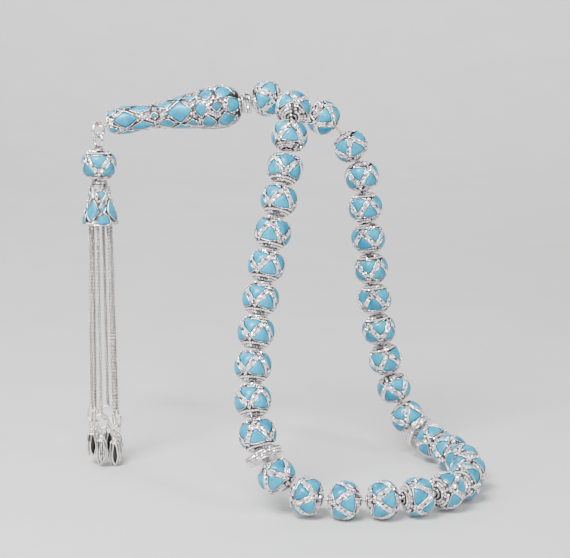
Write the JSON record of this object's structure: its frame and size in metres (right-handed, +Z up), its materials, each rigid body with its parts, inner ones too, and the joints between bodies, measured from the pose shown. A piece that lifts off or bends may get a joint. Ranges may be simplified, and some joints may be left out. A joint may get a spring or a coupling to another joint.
{
  "type": "prayer beads",
  "caption": "Misbaha prayer beads: a string of enamelled silver beads with separators, a carved head piece and a chain tassel with small drops.",
  "frame": {"origin": "underside of the head piece, where it rests on the support that the string is draped over", "axes": "+Z up, +X from the tassel towards the beads, +Y to the back"},
  "size_m": [0.1015, 0.0654, 0.0997],
  "materials": {
    "silver": "polished silver with pave stones",
    "enamel": "gloss turquoise enamel",
    "chain": "oxidised silver foxtail chain",
    "string": "fine silver cord"
  },
  "bodies": {
    "root": {"imame_body": "silver", "imame_enamel": "enamel", "imame_end_eye": "silver", "string": "string", "string_crimp": "silver"},
    "tassel_link": {"tassel_link": "silver"},
    "tassel_head": {"tassel_pin": "silver", "bell_cap": "silver", "bell_enamel": "enamel", "chain_hanger": "silver"},
    "tassel_bead": {"tassel_bead": "silver"},
    "chain_1": {"chain_1": "chain"},
    "charm_1": {"charm_1": "silver"},
    "chain_2": {"chain_2": "chain"},
    "charm_2": {"charm_2": "silver"},
    "chain_3": {"chain_3": "chain"},
    "charm_3": {"charm_3": "silver"},
    "chain_4": {"chain_4": "chain"},
    "charm_4": {"charm_4": "silver"},
    "chain_5": {"chain_5": "chain"},
    "charm_5": {"charm_5": "silver"},
    "chain_6": {"chain_6": "chain"},
    "charm_6": {"charm_6": "silver"},
    "imame_washer": {"imame_washer": "silver"},
    "neck_bead": {"neck_bead": "silver"},
    "bead_01": {"bead_01": "silver"},
    "bead_02": {"bead_02": "silver"},
    "bead_03": {"bead_03": "silver"},
    "bead_04": {"bead_04": "silver"},
    "bead_05": {"bead_05": "silver"},
    "bead_06": {"bead_06": "silver"},
    "bead_07": {"bead_07": "silver"},
    "bead_08": {"bead_08": "silver"},
    "bead_09": {"bead_09": "silver"},
    "bead_10": {"bead_10": "silver"},
    "bead_11": {"bead_11": "silver"},
    "separator_1": {"separator_1": "silver"},
    "bead_12": {"bead_12": "silver"},
    "bead_13": {"bead_13": "silver"},
    "bead_14": {"bead_14": "silver"},
    "bead_15": {"bead_15": "silver"},
    "bead_16": {"bead_16": "silver"},
    "bead_17": {"bead_17": "silver"},
    "bead_18": {"bead_18": "silver"},
    "bead_19": {"bead_19": "silver"},
    "bead_20": {"bead_20": "silver"},
    "bead_21": {"bead_21": "silver"},
    "bead_22": {"bead_22": "silver"},
    "separator_2": {"separator_2": "silver"},
    "bead_23": {"bead_23": "silver"},
    "bead_24": {"bead_24": "silver"},
    "bead_25": {"bead_25": "silver"},
    "bead_26": {"bead_26": "silver"},
    "bead_27": {"bead_27": "silver"},
    "bead_28": {"bead_28": "silver"},
    "bead_29": {"bead_29": "silver"},
    "bead_30": {"bead_30": "silver"},
    "bead_31": {"bead_31": "silver"},
    "bead_32": {"bead_32": "silver"},
    "bead_33": {"bead_33": "silver"}
  },
  "joints": [
    {"name": "link_swing", "type": "hinge", "parent": "root", "child": "tassel_link", "pos_m": [-0.03017, -0.00096, 0.0007], "axis": [0.766, -0.6428, 0], "range_deg": [-10, 10]},
    {"name": "head_swing", "type": "hinge", "parent": "tassel_link", "child": "tassel_head", "pos_m": [-0.03017, -0.00096, -0.00217], "axis": [-0.6428, -0.766, 0], "range_deg": [-25, 25]},
    {"name": "chain_1_swing", "type": "hinge", "parent": "tassel_head", "child": "chain_1", "pos_m": [-0.02767, 0.00005, -0.02141], "axis": [0.3746, -0.9272, 0], "range_deg": [0, 15]},
    {"name": "chain_2_swing", "type": "hinge", "parent": "tassel_head", "child": "chain_2", "pos_m": [-0.0298, 0.00172, -0.02141], "axis": [0.9903, -0.1392, 0], "range_deg": [0, 15]},
    {"name": "chain_3_swing", "type": "hinge", "parent": "tassel_head", "child": "chain_3", "pos_m": [-0.0323, 0.00071, -0.02141], "axis": [0.6157, 0.788, 0], "range_deg": [0, 15]},
    {"name": "chain_4_swing", "type": "hinge", "parent": "tassel_head", "child": "chain_4", "pos_m": [-0.03268, -0.00197, -0.02141], "axis": [-0.3746, 0.9272, 0], "range_deg": [0, 15]},
    {"name": "chain_5_swing", "type": "hinge", "parent": "tassel_head", "child": "chain_5", "pos_m": [-0.03055, -0.00363, -0.02141], "axis": [-0.9903, 0.1392, 0], "range_deg": [0, 15]},
    {"name": "chain_6_swing", "type": "hinge", "parent": "tassel_head", "child": "chain_6", "pos_m": [-0.02805, -0.00262, -0.02141], "axis": [-0.6157, -0.788, 0], "range_deg": [0, 15]},
    {"name": "charm_1_swing", "type": "hinge", "parent": "chain_1", "child": "charm_1", "pos_m": [-0.02702, 0.00032, -0.0778], "axis": [0.6691, -0.7431, 0], "range_deg": [0, 45]},
    {"name": "charm_2_swing", "type": "hinge", "parent": "chain_2", "child": "charm_2", "pos_m": [-0.0297, 0.00241, -0.07661], "axis": [0.9781, 0.2079, 0], "range_deg": [0, 45]},
    {"name": "charm_3_swing", "type": "hinge", "parent": "chain_3", "child": "charm_3", "pos_m": [-0.03285, 0.00114, -0.0768], "axis": [0.309, 0.9511, 0], "range_deg": [0, 45]},
    {"name": "charm_4_swing", "type": "hinge", "parent": "chain_4", "child": "charm_4", "pos_m": [-0.03333, -0.00223, -0.0758], "axis": [-0.6691, 0.7431, 0], "range_deg": [0, 45]},
    {"name": "charm_5_swing", "type": "hinge", "parent": "chain_5", "child": "charm_5", "pos_m": [-0.03065, -0.00432, -0.07711], "axis": [-0.9781, -0.2079, 0], "range_deg": [0, 45]},
    {"name": "charm_6_swing", "type": "hinge", "parent": "chain_6", "child": "charm_6", "pos_m": [-0.02749, -0.00305, -0.0781], "axis": [-0.309, -0.9511, 0], "range_deg": [0, 45]},
    {"name": "tassel_bead_turn", "type": "hinge", "parent": "tassel_head", "child": "tassel_bead", "pos_m": [-0.03017, -0.00096, -0.00901], "axis": [0, 0, 1], "continuous": true},
    {"name": "washer_turn", "type": "hinge", "parent": "root", "child": "imame_washer", "pos_m": [0.0073, 0, 0.0066], "axis": [0.9906, 0, 0.1366], "continuous": true},
    {"name": "neck_bead_turn", "type": "hinge", "parent": "root", "child": "neck_bead", "pos_m": [0.0125, 0, 0.0076], "axis": [0.9824, 0, 0.1867], "continuous": true},
    {"name": "bead_01_turn", "type": "hinge", "parent": "root", "child": "bead_01", "pos_m": [0.01906, -0.00615, 0.00528], "axis": [-0.0936, -0.8337, -0.5443], "continuous": true},
    {"name": "bead_02_turn", "type": "hinge", "parent": "root", "child": "bead_02", "pos_m": [0.01812, -0.01154, -0.00108], "axis": [-0.1053, -0.4308, -0.8963], "continuous": true},
    {"name": "bead_03_turn", "type": "hinge", "parent": "root", "child": "bead_03", "pos_m": [0.01694, -0.01464, -0.00864], "axis": [-0.1718, -0.3399, -0.9247], "continuous": true},
    {"name": "bead_04_turn", "type": "hinge", "parent": "root", "child": "bead_04", "pos_m": [0.01553, -0.01741, -0.01618], "axis": [-0.1759, -0.3336, -0.9262], "continuous": true},
    {"name": "bead_05_turn", "type": "hinge", "parent": "root", "child": "bead_05", "pos_m": [0.01403, -0.01995, -0.02382], "axis": [-0.187, -0.2899, -0.9386], "continuous": true},
    {"name": "bead_06_turn", "type": "hinge", "parent": "root", "child": "bead_06", "pos_m": [0.01251, -0.02239, -0.03147], "axis": [-0.1853, -0.3112, -0.9321], "continuous": true},
    {"name": "bead_07_turn", "type": "hinge", "parent": "root", "child": "bead_07", "pos_m": [0.01111, -0.02498, -0.03911], "axis": [-0.1522, -0.3181, -0.9357], "continuous": true},
    {"name": "bead_08_turn", "type": "hinge", "parent": "root", "child": "bead_08", "pos_m": [0.01003, -0.02764, -0.04678], "axis": [-0.1104, -0.3382, -0.9346], "continuous": true},
    {"name": "bead_09_turn", "type": "hinge", "parent": "root", "child": "bead_09", "pos_m": [0.00933, -0.0306, -0.05442], "axis": [-0.0552, -0.3814, -0.9228], "continuous": true},
    {"name": "bead_10_turn", "type": "hinge", "parent": "root", "child": "bead_10", "pos_m": [0.00932, -0.03399, -0.06195], "axis": [0.0571, -0.4367, -0.8978], "continuous": true},
    {"name": "bead_11_turn", "type": "hinge", "parent": "root", "child": "bead_11", "pos_m": [0.01053, -0.03758, -0.06933], "axis": [0.2438, -0.4177, -0.8753], "continuous": true},
    {"name": "separator_1_turn", "type": "hinge", "parent": "root", "child": "separator_1", "pos_m": [0.01209, -0.03973, -0.07391], "axis": [0.3934, -0.3792, -0.8375], "continuous": true},
    {"name": "bead_12_turn", "type": "hinge", "parent": "root", "child": "bead_12", "pos_m": [0.01502, -0.04153, -0.07813], "axis": [0.6157, -0.3015, -0.728], "continuous": true},
    {"name": "bead_13_turn", "type": "hinge", "parent": "root", "child": "bead_13", "pos_m": [0.02205, -0.04352, -0.08241], "axis": [0.9641, -0.1511, -0.2183], "continuous": true},
    {"name": "bead_14_turn", "type": "hinge", "parent": "root", "child": "bead_14", "pos_m": [0.03081, -0.04454, -0.08307], "axis": [0.9965, -0.0812, 0.0171], "continuous": true},
    {"name": "bead_15_turn", "type": "hinge", "parent": "root", "child": "bead_15", "pos_m": [0.03968, -0.04469, -0.08286], "axis": [0.9978, 0.0601, 0.0284], "continuous": true},
    {"name": "bead_16_turn", "type": "hinge", "parent": "root", "child": "bead_16", "pos_m": [0.04787, -0.04303, -0.08264], "axis": [0.9368, 0.3491, 0.0218], "continuous": true},
    {"name": "bead_17_turn", "type": "hinge", "parent": "root", "child": "bead_17", "pos_m": [0.05504, -0.0387, -0.08254], "axis": [0.7349, 0.6782, -0.0012], "continuous": true},
    {"name": "bead_18_turn", "type": "hinge", "parent": "root", "child": "bead_18", "pos_m": [0.05998, -0.03191, -0.08259], "axis": [0.4126, 0.9109, -0.0042], "continuous": true},
    {"name": "bead_19_turn", "type": "hinge", "parent": "root", "child": "bead_19", "pos_m": [0.06206, -0.0238, -0.0826], "axis": [0.0944, 0.9955, 0], "continuous": true},
    {"name": "bead_20_turn", "type": "hinge", "parent": "root", "child": "bead_20", "pos_m": [0.06182, -0.01547, -0.08259], "axis": [-0.1426, 0.9898, 0.0036], "continuous": true},
    {"name": "bead_21_turn", "type": "hinge", "parent": "root", "child": "bead_21", "pos_m": [0.05969, -0.00743, -0.08248], "axis": [-0.3576, 0.9333, 0.0321], "continuous": true},
    {"name": "bead_22_turn", "type": "hinge", "parent": "root", "child": "bead_22", "pos_m": [0.05601, 0, -0.0818], "axis": [-0.5196, 0.8417, 0.1467], "continuous": true},
    {"name": "separator_2_turn", "type": "hinge", "parent": "root", "child": "separator_2", "pos_m": [0.05299, 0.00429, -0.08061], "axis": [-0.629, 0.6806, 0.3758], "continuous": true},
    {"name": "bead_23_turn", "type": "hinge", "parent": "root", "child": "bead_23", "pos_m": [0.04967, 0.00716, -0.07705], "axis": [-0.5273, 0.3736, 0.7631], "continuous": true},
    {"name": "bead_24_turn", "type": "hinge", "parent": "root", "child": "bead_24", "pos_m": [0.04615, 0.00877, -0.0696], "axis": [-0.323, 0.0563, 0.9447], "continuous": true},
    {"name": "bead_25_turn", "type": "hinge", "parent": "root", "child": "bead_25", "pos_m": [0.04378, 0.009, -0.06172], "axis": [-0.2561, 0.0161, 0.9665], "continuous": true},
    {"name": "bead_26_turn", "type": "hinge", "parent": "root", "child": "bead_26", "pos_m": [0.04198, 0.0092, -0.05371], "axis": [-0.1849, 0.0342, 0.9822], "continuous": true},
    {"name": "bead_27_turn", "type": "hinge", "parent": "root", "child": "bead_27", "pos_m": [0.04074, 0.00959, -0.04559], "axis": [-0.1186, 0.0583, 0.9912], "continuous": true},
    {"name": "bead_28_turn", "type": "hinge", "parent": "root", "child": "bead_28", "pos_m": [0.03984, 0.01003, -0.03749], "axis": [-0.1083, 0.0456, 0.9931], "continuous": true},
    {"name": "bead_29_turn", "type": "hinge", "parent": "root", "child": "bead_29", "pos_m": [0.03897, 0.01039, -0.02939], "axis": [-0.1017, 0.0513, 0.9935], "continuous": true},
    {"name": "bead_30_turn", "type": "hinge", "parent": "root", "child": "bead_30", "pos_m": [0.03818, 0.01093, -0.02127], "axis": [-0.0964, 0.071, 0.9928], "continuous": true},
    {"name": "bead_31_turn", "type": "hinge", "parent": "root", "child": "bead_31", "pos_m": [0.03715, 0.01137, -0.01311], "axis": [-0.1824, 0.0418, 0.9823], "continuous": true},
    {"name": "bead_32_turn", "type": "hinge", "parent": "root", "child": "bead_32", "pos_m": [0.03419, 0.01172, -0.00528], "axis": [-0.5227, 0.0236, 0.8522], "continuous": true},
    {"name": "bead_33_turn", "type": "hinge", "parent": "root", "child": "bead_33", "pos_m": [0.02693, 0.01043, 0.00227], "axis": [-0.7561, -0.3084, 0.5772], "continuous": true}
  ]
}
